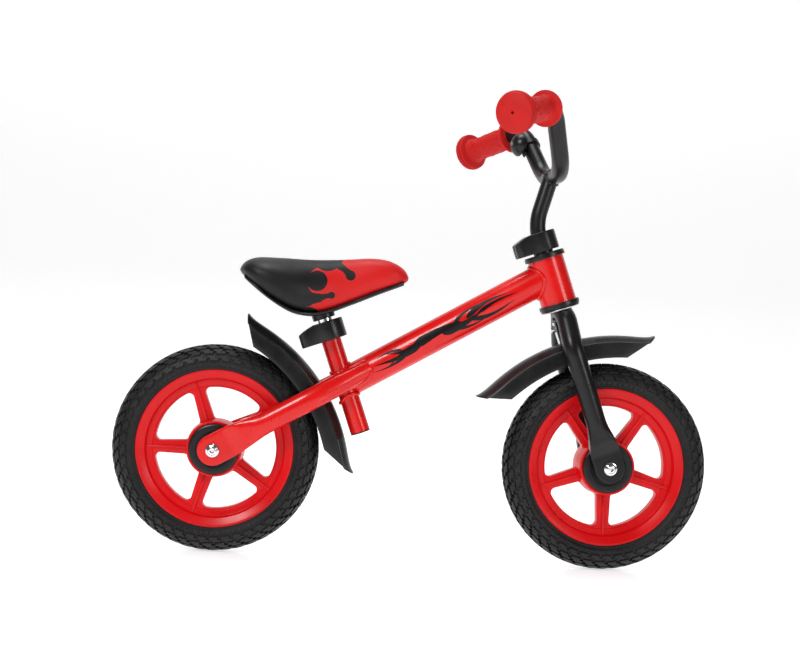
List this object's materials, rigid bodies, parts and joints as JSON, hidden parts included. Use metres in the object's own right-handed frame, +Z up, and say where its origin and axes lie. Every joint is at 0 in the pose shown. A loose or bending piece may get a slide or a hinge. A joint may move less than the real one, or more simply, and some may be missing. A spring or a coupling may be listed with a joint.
{
  "type": "balance bike",
  "caption": "Child's balance bike with foam tyres on spoked wheels, one main tube, rigid fork, raised handlebar, padded saddle, mudguards and lever clamps for seat and stem.",
  "frame": {"origin": "on the floor below the middle of the bike, midway between the axles", "axes": "+X forwards, +Y to the rider's left, +Z up"},
  "size_m": [0.8375, 0.4547, 0.6493],
  "materials": {
    "frame_paint": "gloss",
    "black_paint": "satin",
    "black_plastic": "satin",
    "rim_plastic": "gloss",
    "tyre_foam": "matte",
    "grip_rubber": "matte",
    "saddle_cover": "matte",
    "chrome": "polished",
    "zinc": "satin"
  },
  "bodies": {
    "frame": {"main_tube": "frame_paint", "head_tube": "frame_paint", "seat_tube": "frame_paint", "left_stay": "frame_paint", "right_stay": "frame_paint", "seat_tube_plug": "black_plastic", "upper_headset_cup": "black_plastic", "lower_headset_cup": "black_plastic", "rear_axle_bolt": "chrome", "rear_axle_nut": "chrome", "rear_axle_spacers": "zinc", "rear_fender": "black_plastic", "rear_fender_spacer": "black_plastic", "rear_fender_bolt": "zinc", "seat_clamp_collar": "black_plastic", "seat_clamp_bolt": "zinc", "seat_clamp_nut": "zinc", "seat_clamp_pin": "zinc"},
    "seat_lever": {"seat_clamp_lever": "black_plastic"},
    "saddle": {"seat_post": "chrome", "saddle_bracket": "zinc", "saddle_base": "black_plastic", "saddle_screws": "zinc", "saddle_pad": "saddle_cover"},
    "rear_wheel": {"rear_tyre": "tyre_foam", "rear_rim": "rim_plastic", "rear_spokes": "rim_plastic", "rear_hub": "rim_plastic", "rear_hub_caps": "black_plastic", "rear_bearings": "zinc", "rear_hub_sleeve": "zinc"},
    "fork": {"steerer_tube": "black_paint", "crown_washer": "zinc", "left_blade": "black_paint", "right_blade": "black_paint", "front_axle_bolt": "chrome", "front_axle_nut": "chrome", "front_axle_spacers": "zinc", "front_fender": "black_plastic", "front_fender_bracket": "zinc", "front_fender_bolt": "chrome", "front_fender_nut": "chrome", "front_fender_screw": "zinc", "stem_clamp_collar": "black_plastic", "stem_clamp_bolt": "zinc", "stem_clamp_nut": "zinc", "stem_clamp_pin": "zinc"},
    "stem_lever": {"stem_clamp_lever": "black_plastic"},
    "bars": {"stem": "black_paint", "handlebar": "black_paint", "left_grip": "grip_rubber", "right_grip": "grip_rubber", "bell_base": "black_plastic", "bell_dome": "black_plastic", "bell_screw": "chrome"},
    "bell_striker": {"bell_lever": "black_plastic"},
    "front_wheel": {"front_tyre": "tyre_foam", "front_rim": "rim_plastic", "front_spokes": "rim_plastic", "front_hub": "rim_plastic", "front_hub_caps": "black_plastic", "front_bearings": "zinc", "front_hub_sleeve": "zinc"}
  },
  "joints": [
    {"name": "rear_wheel_spin", "type": "hinge", "parent": "frame", "child": "rear_wheel", "pos_m": [-0.2735, 0, 0.145], "axis": [0, 1, 0], "continuous": true},
    {"name": "steering", "type": "hinge", "parent": "frame", "child": "fork", "pos_m": [0.198, 0, 0.373], "axis": [-0.342, 0, 0.9397], "continuous": true},
    {"name": "front_wheel_spin", "type": "hinge", "parent": "fork", "child": "front_wheel", "pos_m": [0.27352, -0.00049, 0.14501], "axis": [-0.0656, 0.9976, -0.0239], "continuous": true},
    {"name": "seat_height", "type": "slide", "parent": "frame", "child": "saddle", "axis": [-0.3502, 0, 0.9367], "range_m": [0, 0.08]},
    {"name": "handlebar_height", "type": "slide", "parent": "fork", "child": "bars", "axis": [-0.342, 0, 0.9397], "range_m": [0, 0.045]},
    {"name": "seat_clamp_release", "type": "hinge", "parent": "frame", "child": "seat_lever", "pos_m": [-0.15316, -0.02, 0.30566], "axis": [0.3502, 0, -0.9367], "range_deg": [0, 120]},
    {"name": "stem_clamp_release", "type": "hinge", "parent": "fork", "child": "stem_lever", "pos_m": [0.14015, -0.02211, 0.44559], "axis": [0.342, 0, -0.9397], "range_deg": [0, 120]},
    {"name": "bell_strike", "type": "hinge", "parent": "bars", "child": "bell_striker", "pos_m": [0.13965, 0.09476, 0.60162], "axis": [-0.8915, -0.4529, 0.0101], "range_deg": [0, 30], "stiffness_Nm_per_rad": 0.004}
  ]
}
